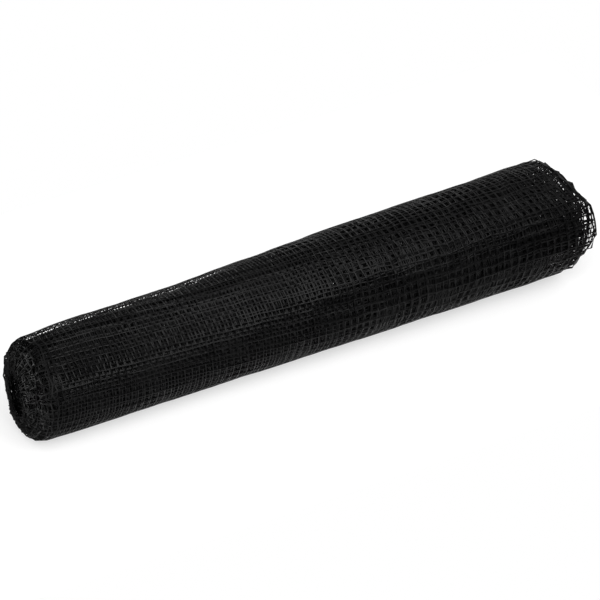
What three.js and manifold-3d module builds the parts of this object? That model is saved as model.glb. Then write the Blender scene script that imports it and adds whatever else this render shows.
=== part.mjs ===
// A roll of mole netting: black plastic mesh one metre wide, wound up without a core.
// Millimetres, +Z up. The roll lies on its side along X, and its looser, thicker end is at +X.
// Angles go round the roll in degrees: 0 faces the front (-Y), 90 up, 180 the back and 270 the floor.
// The origin is on the floor under the middle of the roll.

import * as THREE from 'three';
import { mergeVertices } from 'three/addons/utils/BufferGeometryUtils.js';
import Module from 'manifold-3d';

// The wound body's ends, measured from the middle of the net's width. Past the right one the net's
// outermost layer stands out by itself.
const leftEnd = 495;
const rightEnd = 482;
const bodyLength = leftEnd + rightEnd;
const layer = 2.4; // one layer of net with its slack
const freeEdge = -12; // where the outermost layer stops, low on the front
const freeEdgeLean = 1; // degrees that the step at the free edge takes
const floorFlat = 4.6; // how far the underside is pressed flat
const floorFaces = 270;
const around = 64; // faces round the roll

// The body's section at places along it, in mm from the left end. topFlat and frontFlat are the depths
// to which its upper front and its front are pressed flat, which gives the left half a soft ridge.
const sections = [
  { at: 0, radius: 86, topFlat: 7, frontFlat: 4.5 },
  { at: 110, radius: 88.5, topFlat: 8.5, frontFlat: 6 },
  { at: 280, radius: 88.5, topFlat: 8.5, frontFlat: 6.5 },
  { at: 430, radius: 92, topFlat: 6.5, frontFlat: 5 },
  { at: 520, radius: 94, topFlat: 4, frontFlat: 4 },
  { at: 610, radius: 95.5, topFlat: 1.5, frontFlat: 2.5 },
  { at: 700, radius: 96.5, topFlat: 0, frontFlat: 1 },
  { at: 930, radius: 97.5, topFlat: 0, frontFlat: 0 },
  { at: 977, radius: 97, topFlat: 0, frontFlat: 0 },
];
const topFlatFaces = 54;
const frontFlatFaces = 13;
const ridgeSoftness = 7; // mm over which a pressed face runs into the round
const leastLean = 0.05; // past this a flat face is out of reach

// Puckers where the net was pulled askew: depth inwards, and how far each runs along and around in mm
const puckers = [
  { at: 466, angle: 126, depth: 2.4, along: 22, around: 26 },
  { at: 385, angle: 96, depth: 1.6, along: 60, around: 18 },
  { at: 478, angle: 29, depth: 3.2, along: 26, around: 13 },
  { at: 530, angle: 18, depth: 4.2, along: 34, around: 12 },
  { at: 600, angle: 9, depth: 3.6, along: 44, around: 13 },
  { at: 505, angle: 44, depth: -2.6, along: 30, around: 16 },
  { at: 560, angle: 31, depth: -2.8, along: 34, around: 13 },
  { at: 625, angle: 52, depth: -1.8, along: 36, around: 18 },
  { at: 590, angle: 70, depth: 1.8, along: 30, around: 16 },
  { at: 965, angle: 122, depth: -3.4, along: 50, around: 60 },
  { at: 985, angle: 300, depth: 6, along: 26, around: 62 },
];
const stationStep = 33;
const puckerStep = 16;
const puckered = { from: 420, to: 670 };

// The ends lean: each stands out furthest on the side that `leans` names. Over the rim the roll closes
// in steps, a row for each: how far in from the skin and how far back from the end.
const left = {
  side: -1,
  at: 0,
  x: leftEnd,
  lean: 10,
  leans: 232,
  skinBack: 16,
  rim: [
    { inwards: 4, back: 8 },
    { inwards: 10, back: 2.5 },
    { inwards: 18, back: 0 },
  ],
};
const right = {
  side: 1,
  at: bodyLength,
  x: rightEnd,
  lean: 18,
  leans: 20,
  skinBack: 0,
  rim: [
    { inwards: 6, back: 0 },
    { inwards: 16, back: -1.5 },
  ],
};

// The outermost layer stands out past the right end as an open collar with uneven lobes
const collar = [
  { angle: -12, reach: 28 },
  { angle: -1, reach: 31 },
  { angle: 20, reach: 28 },
  { angle: 42, reach: 23 },
  { angle: 58, reach: 15 },
  { angle: 73, reach: 10 },
  { angle: 96, reach: 12 },
  { angle: 128, reach: 21 },
  { angle: 158, reach: 15 },
  { angle: 200, reach: 20 },
  { angle: 240, reach: 10 },
  { angle: 275, reach: 4 },
  { angle: 347, reach: 4 },
];

// The mesh of the net, which shows as holes through the collar
const meshAround = 15.5;
const meshAlong = 13;
const strand = 3;
const smallestHole = 5;
const holeDepth = 10; // right through the collar

// The turns show at each end as a spiral groove
const turns = { count: 4, pitch: 17, width: 3, depth: 7, outermost: 72, stepsPerTurn: 20 };

const degrees = THREE.MathUtils.degToRad;
const { lerp, smoothstep } = THREE.MathUtils;

// Reads a named column of a table at a place between its rows
function readTable(rows, key, place, name) {
  const last = rows.length - 1;
  if (place <= rows[0][key]) return rows[0][name];
  if (place >= rows[last][key]) return rows[last][name];
  const next = rows.findIndex((row) => row[key] > place);
  const share = smoothstep(place, rows[next - 1][key], rows[next][key]);
  return lerp(rows[next - 1][name], rows[next][name], share);
}

// The lesser of two distances, with a rounded change from one to the other
function softLesser(a, b, softness) {
  const share = THREE.MathUtils.clamp(0.5 + (b - a) / (2 * softness), 0, 1);
  return lerp(b, a, share) - softness * share * (1 - share);
}

function angleBetween(a, b) {
  return THREE.MathUtils.euclideanModulo(a - b + 180, 360) - 180;
}

// How far a face that is square to `faces` and `distance` from the axis lies along an angle
function toFlat(distance, angle, faces) {
  return distance / Math.max(Math.cos(degrees(angle - faces)), leastLean);
}

function turnShare(angle) {
  return THREE.MathUtils.euclideanModulo(angle - freeEdge, 360) / 360;
}

function axisHeight(at) {
  return readTable(sections, 'at', at, 'radius') - floorFlat;
}

function puckerDepth(at, angle, radius) {
  return puckers.reduce((sum, pucker) => {
    const along = (at - pucker.at) / pucker.along;
    const across = (degrees(angleBetween(angle, pucker.angle)) * radius) / pucker.around;
    return sum + pucker.depth * Math.exp(-along * along - across * across);
  }, 0);
}

// The distance from the roll's axis to its skin
function skinRadius(at, angle) {
  const radius = readTable(sections, 'at', at, 'radius');
  const topFlat = readTable(sections, 'at', at, 'topFlat');
  const frontFlat = readTable(sections, 'at', at, 'frontFlat');
  let skin = radius;
  skin = softLesser(skin, toFlat(radius - topFlat, angle, topFlatFaces), ridgeSoftness);
  skin = softLesser(skin, toFlat(radius - frontFlat, angle, frontFlatFaces), ridgeSoftness);
  skin -= layer * turnShare(angle) + puckerDepth(at, angle, radius);
  return Math.min(skin, toFlat(axisHeight(at), angle, floorFaces));
}

function place(x, at, angle, radius) {
  const y = -radius * Math.cos(degrees(angle));
  const z = axisHeight(at) + radius * Math.sin(degrees(angle));
  return new THREE.Vector3(x, y, Math.max(z, 0));
}

// Where an end lies along X, at a share of the way from the axis to the skin
function endX(end, angle, share) {
  return end.side * (end.x + end.lean * share * Math.cos(degrees(angle - end.leans)));
}

function rimPoint(end, angle, { inwards, back }) {
  const skin = skinRadius(end.at, angle);
  const radius = skin - inwards;
  return place(endX(end, angle, radius / skin) - end.side * back, end.at, angle, radius);
}

function stations() {
  const list = [];
  for (let at = left.skinBack; at < bodyLength; ) {
    list.push(at);
    at += at >= puckered.from && at < puckered.to ? puckerStep : stationStep;
  }
  if (bodyLength - list.at(-1) < stationStep / 2) list.pop();
  return [...list, bodyLength];
}

// The points of one lengthwise line of the body, from the middle of the left end to that of the right
function lengthwise(angle, reach) {
  const skin = stations().map((at) => {
    const x = lerp(endX(left, angle, 1), endX(right, angle, 1), at / bodyLength);
    return place(x, at, angle, skinRadius(at, angle));
  });
  return [
    ...left.rim.map((step) => rimPoint(left, angle, step)).reverse(),
    ...skin,
    rimPoint(right, angle, { inwards: 0, back: -reach }),
    rimPoint(right, angle, { inwards: layer, back: -reach }),
    rimPoint(right, angle, { inwards: layer, back: 0 }),
    ...right.rim.map((step) => rimPoint(right, angle, step)),
  ];
}

// The wound body as a closed skin: lengthwise lines joined side by side, and a point on each end's axis
function woundBody() {
  const angles = Array.from({ length: around }, (_, i) => {
    return freeEdge + (i * (360 - freeEdgeLean)) / (around - 1);
  });
  const lines = angles.map((angle) => lengthwise(angle, readTable(collar, 'angle', angle, 'reach')));
  const inLine = lines[0].length;
  const points = [
    ...lines.flat(),
    place(endX(left, 0, 0), left.at, 0, 0),
    place(endX(right, 0, 0), right.at, 0, 0),
  ];
  const leftMiddle = points.length - 2;
  const rightMiddle = points.length - 1;
  const faces = [];
  for (let i = 0; i < around; i++) {
    const here = i * inLine;
    const next = ((i + 1) % around) * inLine;
    faces.push(leftMiddle, here, next);
    faces.push(rightMiddle, next + inLine - 1, here + inLine - 1);
    for (let j = 0; j < inLine - 1; j++) {
      faces.push(here + j, here + j + 1, next + j + 1);
      faces.push(here + j, next + j + 1, next + j);
    }
  }
  const geometry = new THREE.BufferGeometry().setFromPoints(points);
  geometry.setIndex(faces);
  return geometry;
}

// One hole of the mesh: a block that goes in through the collar, square to the roll
function hole(x, angle, length) {
  const width = meshAround - strand;
  const block = new THREE.BoxGeometry(length, width, holeDepth);
  const radius = skinRadius(bodyLength, angle);
  const middle = place(x, bodyLength, angle, radius);
  block.rotateX(degrees(90 - angle));
  return block.translate(middle.x, middle.y, middle.z);
}

// The holes of the collar, in one row or two as it is narrow or wide
function collarHoles() {
  const holes = [];
  const radius = readTable(sections, 'at', bodyLength, 'radius');
  const perTurn = Math.floor((2 * Math.PI * radius) / meshAround);
  for (let i = 0; i < perTurn; i++) {
    const angle = freeEdge + ((i + 0.5) * 360) / perTurn;
    const reach = readTable(collar, 'angle', angle, 'reach');
    const rows = Math.max(1, Math.round(reach / meshAlong));
    const length = (reach - strand) / rows - strand;
    if (length < smallestHole) continue;
    for (let row = 0; row < rows; row++) {
      const x = endX(right, angle, 1) + strand + length / 2 + row * (length + strand);
      holes.push(hole(x, angle, length));
    }
  }
  return holes;
}

// The groove between the turns, which winds in towards the middle of an end
class TurnLine extends THREE.Curve {
  constructor(end) {
    super();
    this.end = end;
  }

  getPoint(share, target = new THREE.Vector3()) {
    const angle = freeEdge + share * turns.count * 360;
    const radius = turns.outermost - share * turns.count * turns.pitch;
    const x = endX(this.end, angle, radius / skinRadius(this.end.at, angle));
    return target.copy(place(x, this.end.at, angle, radius));
  }
}

function turnGroove(end) {
  const section = new THREE.Shape([
    new THREE.Vector2(-turns.depth, -turns.width / 2),
    new THREE.Vector2(turns.depth, -turns.width / 2),
    new THREE.Vector2(turns.depth, turns.width / 2),
    new THREE.Vector2(-turns.depth, turns.width / 2),
  ]);
  const steps = turns.count * turns.stepsPerTurn;
  return new THREE.ExtrudeGeometry(section, { steps, extrudePath: new TurnLine(end) });
}

const wasm = await Module();
wasm.setup();

function toSolid(geometry) {
  const bare = geometry.clone();
  bare.deleteAttribute('normal');
  bare.deleteAttribute('uv');
  const merged = mergeVertices(bare);
  const vertProperties = new Float32Array(merged.attributes.position.array);
  const triVerts = new Uint32Array(merged.index.array);
  return new wasm.Manifold(new wasm.Mesh({ numProp: 3, vertProperties, triVerts }));
}

function toGeometry(solid) {
  const { vertProperties, triVerts } = solid.getMesh();
  const geometry = new THREE.BufferGeometry();
  geometry.setAttribute('position', new THREE.BufferAttribute(vertProperties, 3));
  geometry.setIndex(new THREE.BufferAttribute(triVerts, 1));
  return geometry;
}

function nettingRoll() {
  const cuts = [...collarHoles(), turnGroove(left), turnGroove(right)];
  const solid = cuts.reduce((body, cut) => body.subtract(toSolid(cut)), toSolid(woundBody()));
  const geometry = toGeometry(solid);
  geometry.computeBoundingBox();
  const middle = geometry.boundingBox.getCenter(new THREE.Vector3());
  geometry.translate(-middle.x, -middle.y, 0);
  const material = new THREE.MeshStandardMaterial({ color: 0x1b1b1c, roughness: 0.55, metalness: 0 });
  const mesh = new THREE.Mesh(geometry, material);
  mesh.name = 'netting_roll';
  return mesh;
}

const group = new THREE.Group();
group.add(nettingRoll());

export default group;
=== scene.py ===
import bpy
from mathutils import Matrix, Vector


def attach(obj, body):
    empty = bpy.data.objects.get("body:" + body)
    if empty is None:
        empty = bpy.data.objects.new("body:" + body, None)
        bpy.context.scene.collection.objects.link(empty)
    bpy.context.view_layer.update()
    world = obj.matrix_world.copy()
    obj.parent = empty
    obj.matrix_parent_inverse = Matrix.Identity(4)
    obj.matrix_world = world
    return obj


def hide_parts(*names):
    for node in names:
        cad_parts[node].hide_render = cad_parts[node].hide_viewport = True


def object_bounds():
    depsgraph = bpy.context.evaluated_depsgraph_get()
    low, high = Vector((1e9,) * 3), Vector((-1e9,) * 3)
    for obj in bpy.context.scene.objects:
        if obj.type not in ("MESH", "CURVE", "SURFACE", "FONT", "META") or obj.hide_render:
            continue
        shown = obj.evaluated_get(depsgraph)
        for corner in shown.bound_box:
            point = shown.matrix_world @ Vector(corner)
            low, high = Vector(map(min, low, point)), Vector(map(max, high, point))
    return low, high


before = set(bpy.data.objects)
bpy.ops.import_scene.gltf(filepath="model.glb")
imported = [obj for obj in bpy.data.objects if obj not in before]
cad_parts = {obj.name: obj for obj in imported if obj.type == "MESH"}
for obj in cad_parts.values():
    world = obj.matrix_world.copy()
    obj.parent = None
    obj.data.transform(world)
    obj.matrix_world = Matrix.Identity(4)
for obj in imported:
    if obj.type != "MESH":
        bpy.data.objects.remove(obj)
cadBox = [list(corner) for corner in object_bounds()]

import math

import bpy
import numpy as np
from mathutils import Vector
from mathutils.bvhtree import BVHTree

# Metres and degrees. +X runs along the roll to its loose end. An angle round the roll is 0 at the front,
# 90 on top, 180 at the back and 270 on the floor. A wound angle is counted from the net's free edge, and
# goes on from turn to turn.
tailX, tipX = cadBox[0][0], cadBox[1][0]  # the roll's two ends

# camera

camera = {
    "azimuth": -30.5,
    "elevation": 33.3,
    "distance": 9.0,
    "lens": 330,
    "sensor": 36,
    "seesTo": 60,
    "lookAt": (-0.0006, -0.001, 0.088),
}


def addCamera():
    turn, rise = math.radians(camera["azimuth"]), math.radians(camera["elevation"])
    back = Vector((math.sin(turn) * math.cos(rise), -math.cos(turn) * math.cos(rise), math.sin(rise)))
    data = bpy.data.cameras.new("camera")
    data.lens, data.sensor_width = camera["lens"], camera["sensor"]
    data.clip_end = camera["seesTo"]
    photoCamera = bpy.data.objects.new("camera", data)
    photoCamera.location = Vector(camera["lookAt"]) + back * camera["distance"]
    photoCamera.rotation_mode = "QUATERNION"
    photoCamera.rotation_quaternion = (-back).to_track_quat("-Z", "Y")
    bpy.context.collection.objects.link(photoCamera)
    bpy.context.scene.camera = photoCamera
    print("camera set")


addCamera()

# the black plastic

plastic = {
    "colour": (0.0021, 0.0021, 0.0022),
    "dusty": (0.0042, 0.0042, 0.0043),
    "smooth": 0.22,  # how rough it is where it is clean
    "dull": 0.42,  # and where it is dusty
    "shine": 0.11,
    "patches": {"scale": 9, "detail": 3, "share": 0.7},
    "specks": {"scale": 420, "detail": 2, "share": 0.3},
    "dustFrom": 0.42,
    "dustTo": 0.66,
    "pits": {"scale": 1500, "detail": 2},
    "pitDepth": 0.00012,
    "pitStrength": 0.35,
}


class Wire:
    # a socket of a node tree, so that shader maths reads as plain sums
    def __init__(self, tree, socket):
        self.tree, self.socket = tree, socket

    def node(self, kind, settings, sockets, output=0):
        made = self.tree.nodes.new(kind)
        for name, value in settings.items():
            setattr(made, name, value)
        for name, value in sockets.items():
            if isinstance(value, Wire):
                self.tree.links.new(value.socket, made.inputs[name])
            else:
                made.inputs[name].default_value = value
        return Wire(self.tree, made.outputs[output])

    def maths(self, operation, first, second):
        return self.node("ShaderNodeMath", {"operation": operation}, {0: first, 1: second})

    def __add__(self, other):
        return self.maths("ADD", self, other)

    def __sub__(self, other):
        return self.maths("SUBTRACT", self, other)

    def __rsub__(self, other):
        return self.maths("SUBTRACT", other, self)

    def __mul__(self, other):
        return self.maths("MULTIPLY", self, other)

    __radd__, __rmul__ = __add__, __mul__


def makePlastic():
    material = bpy.data.materials.new("black_net_plastic")
    material.use_nodes = True
    tree = material.node_tree
    shader = tree.nodes["Principled BSDF"]
    shader.inputs["Specular IOR Level"].default_value = plastic["shine"]
    place = Wire(tree, tree.nodes.new("ShaderNodeTexCoord").outputs["Object"])

    def noise(grain):
        sockets = {"Vector": place, "Scale": grain["scale"], "Detail": grain["detail"]}
        return place.node("ShaderNodeTexNoise", {}, sockets)

    patches, specks = plastic["patches"], plastic["specks"]
    stains = noise(patches) * patches["share"] + noise(specks) * specks["share"]
    limits = {"Value": stains, "From Min": plastic["dustFrom"], "From Max": plastic["dustTo"]}
    dust = place.node("ShaderNodeMapRange", {}, limits)
    blend = {0: dust, 6: (*plastic["colour"], 1), 7: (*plastic["dusty"], 1)}  # factor and two colours
    colour = place.node("ShaderNodeMix", {"data_type": "RGBA"}, blend, output=2)
    rough = plastic["smooth"] + dust * (plastic["dull"] - plastic["smooth"])
    relief = {"Strength": plastic["pitStrength"], "Distance": plastic["pitDepth"]}
    relief["Height"] = noise(plastic["pits"])
    bump = place.node("ShaderNodeBump", {}, relief)
    tree.links.new(colour.socket, shader.inputs["Base Color"])
    tree.links.new(rough.socket, shader.inputs["Roughness"])
    tree.links.new(bump.socket, shader.inputs["Normal"])
    print("plastic mixed")
    return material


netPlastic = makePlastic()


def ease(value, start, end):
    # a smooth rise from 0 to 1
    share = np.clip((value - start) / (end - start), 0, 1)
    return share * share * (3 - 2 * share)


def between(value, limits):
    # a rise over the first two limits, and a fall over the last two
    riseFrom, riseTo, fallFrom, fallTo = limits
    return ease(value, riseFrom, riseTo) * (1 - ease(value, fallFrom, fallTo))


def mix(first, second, share):
    return first * (1 - share) + second * share


def readTable(table, value):
    # straight lines between the rows of a table of two columns
    return np.interp(value, *zip(*table))


# the shape of the roll, read from the frame

skin = {
    "from": tailX + 0.044,
    "to": tipX - 0.076,
    "places": 72,
    "angleStep": 3,
    "axisHeight": (0.0815, 0.0930),  # at the tight end and the loose one
    "freeEdge": -12,  # angle of the net's free edge, at the loose end
    "step": 0.0024,  # height of the step at the free edge
    "smoothings": 2,  # these take the facets out
}


def axisHeight(x):
    tight, loose = skin["axisHeight"]
    return tight + np.clip((x - tailX) / (tipX - tailX), 0, 1) * (loose - tight)


def readSkin():
    # distance of the outermost turn from the axis, without the step at the net's free edge
    tree = BVHTree.FromObject(bpy.data.objects["netting_roll"], bpy.context.evaluated_depsgraph_get())
    angles = np.arange(0, 360, skin["angleStep"])
    radii = np.empty((skin["places"], len(angles)))
    for i, x in enumerate(np.linspace(skin["from"], skin["to"], skin["places"])):
        start = Vector((x, 0, axisHeight(x)))
        for j, angle in enumerate(np.radians(angles)):
            radii[i, j] = tree.ray_cast(start, Vector((0, -math.cos(angle), math.sin(angle))))[3]
    radii += skin["step"] * ((angles - skin["freeEdge"]) % 360) / 360
    for _ in range(skin["smoothings"]):
        radii = (np.roll(radii, 1, 1) + 2 * radii + np.roll(radii, -1, 1)) / 4
        radii[1:-1] = (radii[:-2] + 2 * radii[1:-1] + radii[2:]) / 4
    return np.hstack([radii, radii[:, :1]])


skinRadii = readSkin()
meanRadii = skinRadii[:, :-1].mean(1)
print("skin read")


def skinAt(x, angle):
    # the skin's distance from the axis, and its mean all round
    lastPlace = skin["places"] - 1.001  # a hair before the last, so that there is always a next one
    place = (x - skin["from"]) / (skin["to"] - skin["from"]) * (skin["places"] - 1)
    place = np.clip(place, 0, lastPlace)
    step = (angle % 360) / skin["angleStep"]
    i, j = place.astype(int), step.astype(int)
    before = mix(skinRadii[i, j], skinRadii[i, j + 1], step - j)
    after = mix(skinRadii[i + 1, j], skinRadii[i + 1, j + 1], step - j)
    return mix(before, after, place - i), mix(meanRadii[i], meanRadii[i + 1], place - i)


# the net, wound from its free edge inwards

net = {
    "rows": 1130,
    "columns": 78,
    "cellAlong": 0.013,
    "cellAround": 0.0151,
    "lastCell": 0.65,  # width of the cell along the selvedge, in cells
    "strand": 0.0017,
    "thickness": 0.0009,
    "crown": 0.0005,
    "covered": 0.305,  # share of the net that isn't holes
    "roundUnder": 60,  # edges that turn less than this are shaded smooth
    # turns from the free edge, and how far in they lie
    "depths": [(0, 0), (0.3, 0.0010), (1, 0.0017), (12, 0.0076), (48, 0.082)],
    "evenDepth": 0.006,  # the turns above this have as many rows each
    "middleRadius": 0.0925,  # of the whole roll, about its middle
    "heart": 0.010,  # radius of the hole that the innermost turn leaves
    "leastRadius": 0.004,  # no wound strand lies nearer to the axis
    "steadyRadius": 0.01,  # nearer to it than this, a shift aside turns a strand no farther
    "leastOutward": 0.1,  # the innermost turns keep this share of the skin's form
    "flap": 0.0016,  # how far the free edge stands off
    "flapOver": 18,  # and over how many degrees
}
ends = {
    # wound angle, and how many millimetres in from the roll's tip the net's edge lies there
    "right": [
        (0, 4.7), (12, 0.7), (32, 0.7), (50, 6.7), (57, 11.7), (67, 21.7), (82, 29.7), (102, 33.7),
        (142, 39.7), (180, 45.7), (230, 45.7), (300, 38.7), (343, 31), (356, 25), (375, 15), (400, 8.7),
        (420, 12.7), (432, 18.7), (442, 22.7), (452, 27.7), (470, 33.7), (500, 39.7), (560, 43.7),
        (620, 45.7), (690, 37.7), (720, 27.7), (752, 24.7), (792, 25.7), (807, 26.2), (825, 30.2),
        (860, 31.7), (880, 35.7), (920, 43.7), (1000, 47.7),
    ],
    "turnsInFold": 4,  # so many turns follow each turn of the table
    "mergeFrom": 350,  # angle at which a turn starts to go back to where its fold began
    "overlap": 15,  # how far past a full turn it is back there
    "rightIn": 0.0477,  # how far in the inner turns' edges lie, past the table's end
    "rightLean": (0.018, 20),  # they lean out by this, towards this angle
    "rightBlend": 100,  # degrees before and after the table's end
    "rightRagged": 0.5,  # share of the left edge's raggedness
    # depth under the skin, and how far the left edge is set back there
    "left": [(0, 0.014), (0.004, 0.007), (0.010, 0.0025), (0.018, 0), (0.080, -0.002)],
    "leftIn": 0.007,  # how far in from the roll's end it lies otherwise
    "leftLean": (0.010, 232),
    "selvedge": 0.0018,  # how far the selvedge stands out
    "selvedgeFrom": 0.001,  # cells before the last strand's middle
    "stub": (0.15, 0.6),  # shortest and longest at the cut edge, in cells
    "stubFrom": 0.9,  # points nearer to the cut edge than this, in cells, are the stubs' tips
    "stubSeed": 20,
}
# the net is stretched near both ends, so that it reaches just to its edges there
pull = {
    "left": 0.25,  # over this length
    "right": 0.5,
    "fade": 1.5,
    "hold": 4,  # the less this is, the farther from its edges a turn is kept from being shifted
}
# the tight half is twisted, by so many degrees for each metre towards the tight end
twist = {"rate": 50, "from": tailX + 0.625, "softness": 0.0375}
# at the tight end the outer turns are tucked in over the end, towards a slit in it
tuck = {
    "columns": 7,
    "bunched": 1.2,  # above 1, the cells are narrower near the rim
    "facing": 38,  # how the slit is turned, in degrees
    "slitBack": 0.7,  # how far back it is, and half its length, in shares of the turn's radius
    "slitLong": 0.42,
}
# the turns under the loose outer ones are pressed in, over the back of the tight half
sunk = {
    "by": 0.0075,
    "angles": (86, 112, 140, 175),
    "along": (tailX + 0.005, tailX + 0.04, tailX + 0.34, tailX + 0.46),
    "wound": (480, 800),
    "fade": 3,  # above 1, it fades sooner towards the axis
}
# a turn lies half a cell off the one under it: along the roll in the tight half, and around it in the
# loose half, where the strands that run round the roll lie in line
meshing = {
    "inLine": (tailX + 0.48, tailX + 0.64, tipX - 0.10, tipX - 0.06),
    "offset": 0.5,
    "change": (0.35, 0.65),  # part of a turn over which it passes to the next turn's place
    # how far a turn also lies off its place, at random, in cells
    "tight": 0.12,
    "loose": 0.26,
    "deep": 0.9,
    "deepTurns": (8, 11),  # between these turns it passes to that of the deep ones
    "mostTurns": 80,
    "seed": 21,
}


def waves(seed, count, shortest, longest):
    # a smooth uneven field of two coordinates, about -1 to 1
    dice = np.random.RandomState(seed)
    length = dice.uniform(shortest, longest, count)
    heading = dice.uniform(0, math.pi, count)
    start = dice.uniform(0, 2 * math.pi, count)

    def field(x, y):
        total = 0
        for i in range(count):
            across = (x * math.cos(heading[i]) + y * math.sin(heading[i])) * 2 * math.pi / length[i]
            total = total + np.sin(across + start[i])
        return total / math.sqrt(count)

    return field


# how uneven the net is, in metres, or for its twist in degrees a metre, and the waves of that: their
# seed, count, shortest and longest
slack = {
    "along": (0.0024, waves(11, 9, 0.03, 0.16)),
    "around": (0.0020, waves(12, 9, 0.03, 0.16)),
    "lift": (0.0006, waves(13, 9, 0.03, 0.12)),
    "twist": (3, waves(18, 5, 0.5, 2.0)),
    "ragged": (0.002, waves(14, 6, 0.02, 0.09)),
}
slackness = {
    "tight": 0.45,  # share of the slack that the tight half has
    "tucked": 1.3,  # and the turns that are tucked in
    "looseFrom": (tipX - 0.12, tipX - 0.08),
    "tuckedUntil": (tailX - 0.01, tailX + 0.04),
    "liftUpTo": 0.0003,
}
# loose strands along the edges, and fuzz on the tucked end
splay = {
    "by": 0.0022,
    "within": 0.016,  # in this distance from the edge it falls to about a third
    "fuzz": 0.0019,
    "fuzzRise": 8,  # the fuzz is full at one part in so many of the way to the slit
    "waves": [waves(seed, 8, 0.008, 0.03) for seed in (15, 16, 17)],  # along, around and outwards
}


def slackAt(way, x, y):
    size, field = slack[way]
    return field(x, y) * size


def depthAt(wound):
    return readTable(net["depths"], wound / 360)


def windRows():
    # wound angle of each cross strand
    angles = np.zeros(net["rows"] + 2)
    for i in range(net["rows"] + 1):
        radius = net["middleRadius"] - max(depthAt(angles[i]) - net["evenDepth"], 0)
        angles[i + 1] = angles[i] + math.degrees(net["cellAround"] / max(radius, net["heart"]))
    return angles


rowAngles = windRows()
rowsInTurn = int(2 * math.pi * net["middleRadius"] / net["cellAround"])  # whole ones, in an outer turn
stubLengths = np.random.RandomState(ends["stubSeed"]).uniform(*ends["stub"], net["rows"] + 2)
turnOffsets = np.random.RandomState(meshing["seed"]).uniform(-1, 1, (2, meshing["mostTurns"]))
print("net of", net["rows"], "rows in", round(rowAngles[-1] / 360, 1), "turns")


def leanAt(lean, angle, outward):
    reach, towards = lean
    return reach * outward * np.cos(np.radians(angle - towards))


def rightEdgeAt(wound, angle, outward):
    # several turns of the net lie in each of the outer folds
    turn = np.maximum((wound - ends["overlap"]) // 360, 0)
    past = wound - 360 * turn
    here = 360 * (turn // ends["turnsInFold"]) + past
    isLast = turn % ends["turnsInFold"] == ends["turnsInFold"] - 1
    merging = np.where(isLast, 0, ease(past, ends["mergeFrom"], 360 + ends["overlap"]))
    outer = mix(readTable(ends["right"], here), readTable(ends["right"], here - 360), merging) / 1000
    inner = ends["rightIn"] - leanAt(ends["rightLean"], angle, outward)
    tableEnd = ends["right"][-1][0]
    deepening = ease(here, tableEnd - ends["rightBlend"], tableEnd + ends["rightBlend"])
    return tipX - mix(outer, inner, deepening)


def leftEdgeAt(depth, angle, outward):
    setBack = readTable(ends["left"], depth)
    return tailX + ends["leftIn"] - leanAt(ends["leftLean"], angle, outward) + setBack


def edgesAt(wound, depth, outward, length, isTucked):
    # where the net's two edges lie along the roll. The tucked turns' rims lie deeper in, turn by turn
    angle = skin["freeEdge"] + wound
    ragged = slackAt("ragged", length, 0)
    left = leftEdgeAt(depth * (1 - isTucked), angle, outward) + ragged + depth * isTucked
    right = rightEdgeAt(wound, angle, outward) - abs(ragged) * ends["rightRagged"]
    return left, right


def trimCells(column, row, first):
    # the stubs at the cut edge are uneven, and the cell along the selvedge is narrower
    stub = stubLengths[row.round().astype(int)]
    column = np.where(column < first + ends["stubFrom"], first + 1 - (first + 1 - column) * stub, column)
    inLastCell = np.maximum(column - net["columns"] + 1, 0)
    return column - inLastCell * (1 - net["lastCell"])


def turnShifts(wound, inLine):
    # how far a turn lies off the others, in cells along and around the roll
    turn = (wound // 360).astype(int)
    toNext = ease(wound / 360 % 1, *meshing["change"])
    stagger = mix(turn % 2, (turn + 1) % 2, toNext) * meshing["offset"]
    size = mix(meshing["tight"], meshing["loose"], inLine)
    size = mix(size, meshing["deep"], ease(wound / 360, *meshing["deepTurns"]))
    along, around = mix(turnOffsets[:, turn], turnOffsets[:, turn + 1], toNext) * size
    return stagger * (1 - inLine) + along, stagger * inLine + around


def layAlong(column, wound, length, leftEdge, rightEdge, isTucked):
    # along the roll: x, how far the turns are shifted around it, and how slack the net is
    x = tailX + column * net["cellAlong"]
    leftPull = np.clip(1 - (x - tailX) / pull["left"], 0, 1) ** pull["fade"]
    rightPull = np.clip(1 - (tipX - x) / pull["right"], 0, 1) ** pull["fade"]
    inLine = between(x, meshing["inLine"])
    shiftAlong, shiftAround = turnShifts(wound, inLine)
    held = (rightPull if isTucked else np.maximum(leftPull, rightPull)) ** pull["hold"]
    x = x + shiftAlong * net["cellAlong"] * (1 - held)
    lastColumn = net["columns"] - 1 + net["lastCell"]
    toRight = rightEdge - tailX - lastColumn * net["cellAlong"]
    x = x + (leftEdge - tailX) * leftPull + toRight * rightPull
    x = x + (column >= lastColumn - ends["selvedgeFrom"]) * ends["selvedge"]
    isLoose = np.maximum(inLine, ease(x, *slackness["looseFrom"]))
    share = mix(slackness["tight"], 1, isLoose)
    share = mix(slackness["tucked"], share, ease(x, *slackness["tuckedUntil"]))
    return x + slackAt("along", x, length) * share, shiftAround, share


def twistAt(x, length):
    # degrees of twist, which sets in softly
    rate = twist["rate"] + slackAt("twist", length, 0)
    return rate * twist["softness"] * np.logaddexp(0, (twist["from"] - x) / twist["softness"])


def radiusAt(x, angle, wound, depth, outward):
    # the inner turns are rounder than the skin, and smaller
    skinRadius, mean = skinAt(x, angle)
    sinking = between(angle % 360, sunk["angles"]) * between(x, sunk["along"])
    sinking = sinking * ease(wound, *sunk["wound"]) * outward ** sunk["fade"]
    radius = mean - depth * (mean - net["heart"]) / (net["middleRadius"] - net["heart"])
    radius = radius + (skinRadius - mean) * outward - sinking * sunk["by"]
    return radius + net["flap"] * (1 - ease(wound, 0, net["flapOver"]))


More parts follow.
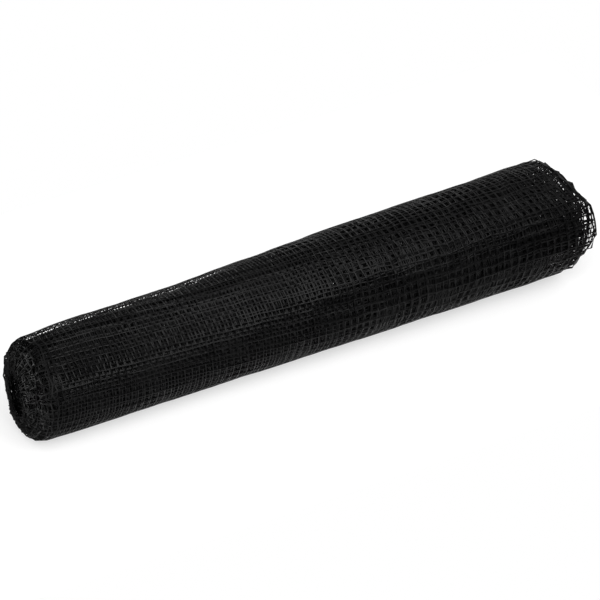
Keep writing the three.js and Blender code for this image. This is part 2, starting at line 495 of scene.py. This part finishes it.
def foldOverEnd(x, front, up, around, radius, rim, tucked):
    # each tucked strand runs from the rim across the end, to its own place along the slit
    facing = math.radians(tuck["facing"])
    alongSlit = tuck["slitLong"] * radius * np.sin(around - facing)
    acrossSlit = -tuck["slitBack"] * radius
    slitFront = acrossSlit * math.cos(facing) - alongSlit * math.sin(facing)
    slitUp = acrossSlit * math.sin(facing) + alongSlit * math.cos(facing)
    inFromRim = np.hypot(slitFront - front, slitUp - up) * tucked
    onEnd = rim - readTable(ends["left"], 0) + readTable(ends["left"], inFromRim)
    return np.where(tucked > 0, onEnd, x), mix(front, slitFront, tucked), mix(up, slitUp, tucked)


def windOn(column, row, height, isTucked):
    # places on the roll of the net's points, which are given in cells along and around it
    wound = np.interp(row, np.arange(net["rows"] + 2), rowAngles)
    depth = depthAt(wound)
    outward = np.clip(1 - depth / net["middleRadius"], net["leastOutward"], 1)  # 1 on the skin
    length = row * net["cellAround"]
    leftEdge, rightEdge = edgesAt(wound, depth, outward, length, isTucked)
    column = trimCells(column, row, -tuck["columns"] * isTucked)
    x, shiftAround, share = layAlong(column, wound, length, leftEdge, rightEdge, isTucked)
    angle = skin["freeEdge"] + wound + twistAt(x, length)
    angle = angle + shiftAround * 360 / rowsInTurn
    lift = np.minimum(slackAt("lift", x, length), slackness["liftUpTo"])
    radius = radiusAt(x, angle, wound, depth, outward) + lift + height

    # how far over the end, from 0 at the rim to 1 at the slit
    tuckLength = tuck["columns"] * net["cellAlong"]
    tucked = np.clip((leftEdge - x) / tuckLength, 0, 1) ** tuck["bunched"] * isTucked
    fromEdge = rightEdge - x if isTucked else np.minimum(x - leftEdge, rightEdge - x)
    loose = np.exp(-np.maximum(fromEdge, 0) / splay["within"]) * splay["by"]
    loose = loose + np.minimum(tucked * splay["fuzzRise"], 1) * splay["fuzz"]
    alongSplay, aroundSplay, outSplay = (field(x, length) * loose for field in splay["waves"])
    radius = np.maximum(radius + outSplay - loose, net["leastRadius"])
    aside = slackAt("around", x, length) * share + aroundSplay
    around = np.radians(angle) + aside / np.maximum(radius, net["steadyRadius"])
    front, up = np.cos(around) * radius, np.sin(around) * radius
    if isTucked:
        x, front, up = foldOverEnd(x, front, up, around, radius, leftEdge - height, tucked)
    x = x + alongSplay
    return x, -front, axisHeight(x) + up


def layFlat(name, wide, long, flat):
    # a grid of cells, each inset by half a strand and open in its middle
    bpy.ops.object.select_all(action="DESELECT")
    bpy.ops.mesh.primitive_grid_add(x_subdivisions=wide, y_subdivisions=long, size=1, location=(0, 0, 0))
    piece = bpy.context.object
    piece.name = piece.data.name = name
    bpy.ops.object.mode_set(mode="EDIT")
    bpy.ops.mesh.select_all(action="SELECT")
    bpy.ops.transform.resize(value=(*flat, 1))
    bpy.ops.mesh.inset(thickness=net["strand"] / 2, use_individual=True)
    bpy.ops.mesh.delete(type="ONLY_FACE")
    bpy.ops.object.mode_set(mode="OBJECT")
    return piece


def openCutEdge(piece, flat):
    # the cut edge has no strand along it, only stubs
    bpy.ops.object.mode_set(mode="EDIT")
    bpy.ops.mesh.select_mode(type="FACE")
    bpy.ops.object.mode_set(mode="OBJECT")
    for face in piece.data.polygons:
        face.select = face.center.x < net["strand"] / 2 - flat[0] / 2
    bpy.ops.object.mode_set(mode="EDIT")
    bpy.ops.mesh.delete(type="FACE")
    bpy.ops.object.mode_set(mode="OBJECT")


def readPoints(piece, wide, long):
    # a flat piece's points, and their own columns and rows
    points = np.empty((len(piece.data.vertices), 3))
    piece.data.vertices.foreach_get("co", points.ravel())
    column = points[:, 0] / net["cellAlong"] + wide / 2
    row = points[:, 1] / net["cellAround"] + long / 2
    return points, column, row


def crownStrands(piece, wide, long):
    # the strands' middles run between the crossings, which are raised
    points, column, row = readPoints(piece, wide, long)
    near = 0.01  # cells
    isCrossing = (abs(column - column.round()) < near) & (abs(row - row.round()) < near)
    points[isCrossing, 2] = net["crown"]
    piece.data.vertices.foreach_set("co", points.ravel())


def weave(name, rows, columns, thick):
    # lays a stretch of the net flat, cuts and crowns its strands, and winds it on
    wide, long = columns[1] - columns[0], rows[1] - rows[0]
    flat = (wide * net["cellAlong"], long * net["cellAround"])
    piece = layFlat(name, wide, long, flat)
    if columns[0] <= 0:
        openCutEdge(piece, flat)
    crownStrands(piece, wide, long)
    if thick:
        solid = piece.modifiers.new("strand thickness", "SOLIDIFY")
        solid.thickness, solid.offset = net["thickness"], 0
        bpy.ops.object.modifier_apply(modifier=solid.name)
    points, column, row = readPoints(piece, wide, long)
    placed = np.column_stack(windOn(column + columns[0], row + rows[0], points[:, 2], columns[0] < 0))
    piece.data.vertices.foreach_set("co", placed.ravel())
    piece.data.update()
    bpy.ops.object.shade_smooth_by_angle(angle=math.radians(net["roundUnder"]))
    piece.data.materials.append(netPlastic)
    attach(piece, "root")
    flat[0] * flat[1] * net["covered"]
    print(name, len(piece.data.polygons), "faces")
    return piece


# Each piece is a stretch of the same net: its rows from the free edge, and its columns from the tight
# end. The outer turns have more columns, which are tucked in. Of the innermost turns, only the edges are
# made, because nothing shows of them in between.
tuckedColumns = (-tuck["columns"], net["columns"])
plainColumns = (0, net["columns"])
edgeWidth = 6  # columns
rightColumns = (net["columns"] - 2 * edgeWidth, net["columns"])
innerRows = (860, net["rows"])
stretches = {
    "netting_outer_turns": {"rows": (0, 76), "columns": tuckedColumns, "thick": True},
    "netting_second_turns": {"rows": (76, 306), "columns": tuckedColumns, "thick": False},
    "netting_third_turns": {"rows": (306, 560), "columns": plainColumns, "thick": False},
    "netting_fourth_turns": {"rows": (560, 860), "columns": plainColumns, "thick": False},
    "netting_left_edge": {"rows": innerRows, "columns": (0, edgeWidth), "thick": True},
    "netting_left_inside": {"rows": innerRows, "columns": (edgeWidth, 2 * edgeWidth), "thick": False},
    "netting_right_edge": {"rows": innerRows, "columns": rightColumns, "thick": False},
}
pieces = {name: weave(name, **stretch) for name, stretch in stretches.items()}
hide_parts("netting_roll")

# floor and light

floorPaint = {
    "size": (1.7, 1.0),
    "middle": (0, 0.1, 0),
    "pale": 0.42,
    "rough": 0.9,
    "shine": 0.1,
    "glow": 0.6,
}
sky = {"low": 0.055, "high": 0.68, "lowUpTo": 0.09, "highFrom": 0.36}
softboxes = {
    "key": {"at": (0.1, -0.88, 1.27), "size": 1.3, "power": 17},
    "side": {"at": (-2.0, -1.7, 1.4), "size": 2.2, "power": 17},
    "low": {"at": (-2.4, -0.5, 0.62), "size": 1.9, "power": 14},
    "back": {"at": (1.3, 2.7, 0.6), "size": 2.2, "power": 9},
    "right": {"at": (2.5, 0.5, 1.0), "size": 1.6, "power": 7},
}


def addFloor():
    bpy.ops.object.select_all(action="DESELECT")
    bpy.ops.mesh.primitive_plane_add(size=1, location=floorPaint["middle"])
    floor = bpy.context.object
    bpy.ops.object.mode_set(mode="EDIT")
    bpy.ops.transform.resize(value=(*floorPaint["size"], 1))
    bpy.ops.object.mode_set(mode="OBJECT")
    floor.name = "floor"
    paint = bpy.data.materials.new("pale_floor")
    paint.use_nodes = True
    shader = paint.node_tree.nodes["Principled BSDF"]
    shader.inputs["Base Color"].default_value = (floorPaint["pale"],) * 3 + (1,)
    shader.inputs["Roughness"].default_value = floorPaint["rough"]
    shader.inputs["Specular IOR Level"].default_value = floorPaint["shine"]
    shader.inputs["Emission Color"].default_value = (1, 1, 1, 1)
    shader.inputs["Emission Strength"].default_value = floorPaint["glow"]
    floor.data.materials.append(paint)


def addSky():
    # a pale dome that is dim near the horizon, and plain white where the camera sees it
    world = bpy.data.worlds.new("studio")
    world.use_nodes = True
    bpy.context.scene.world = world
    tree = world.node_tree
    way = Wire(tree, tree.nodes.new("ShaderNodeTexCoord").outputs["Generated"])
    sockets = {
        "Value": way.node("ShaderNodeSeparateXYZ", {}, {0: way}, output=2),
        "From Min": sky["lowUpTo"],
        "From Max": sky["highFrom"],
        "To Min": sky["low"],
        "To Max": sky["high"],
    }
    bright = way.node("ShaderNodeMapRange", {"interpolation_type": "SMOOTHSTEP"}, sockets)
    seen = Wire(tree, tree.nodes.new("ShaderNodeLightPath").outputs["Is Camera Ray"])
    strength = bright * (1 - seen) + seen
    background = tree.nodes["Background"]
    background.inputs["Color"].default_value = (1, 1, 1, 1)
    tree.links.new(strength.socket, background.inputs["Strength"])


def addSoftboxes():
    for name, softbox in softboxes.items():
        data = bpy.data.lights.new(name, "AREA")
        data.shape, data.size, data.energy = "DISK", softbox["size"], softbox["power"]
        light = bpy.data.objects.new(name, data)
        light.location = softbox["at"]
        light.rotation_mode = "QUATERNION"
        light.rotation_quaternion = Vector(softbox["at"]).to_track_quat("Z", "Y")
        bpy.context.collection.objects.link(light)


addFloor()
addSky()
addSoftboxes()
bpy.context.scene.view_settings.view_transform = "Standard"
print("studio lit")
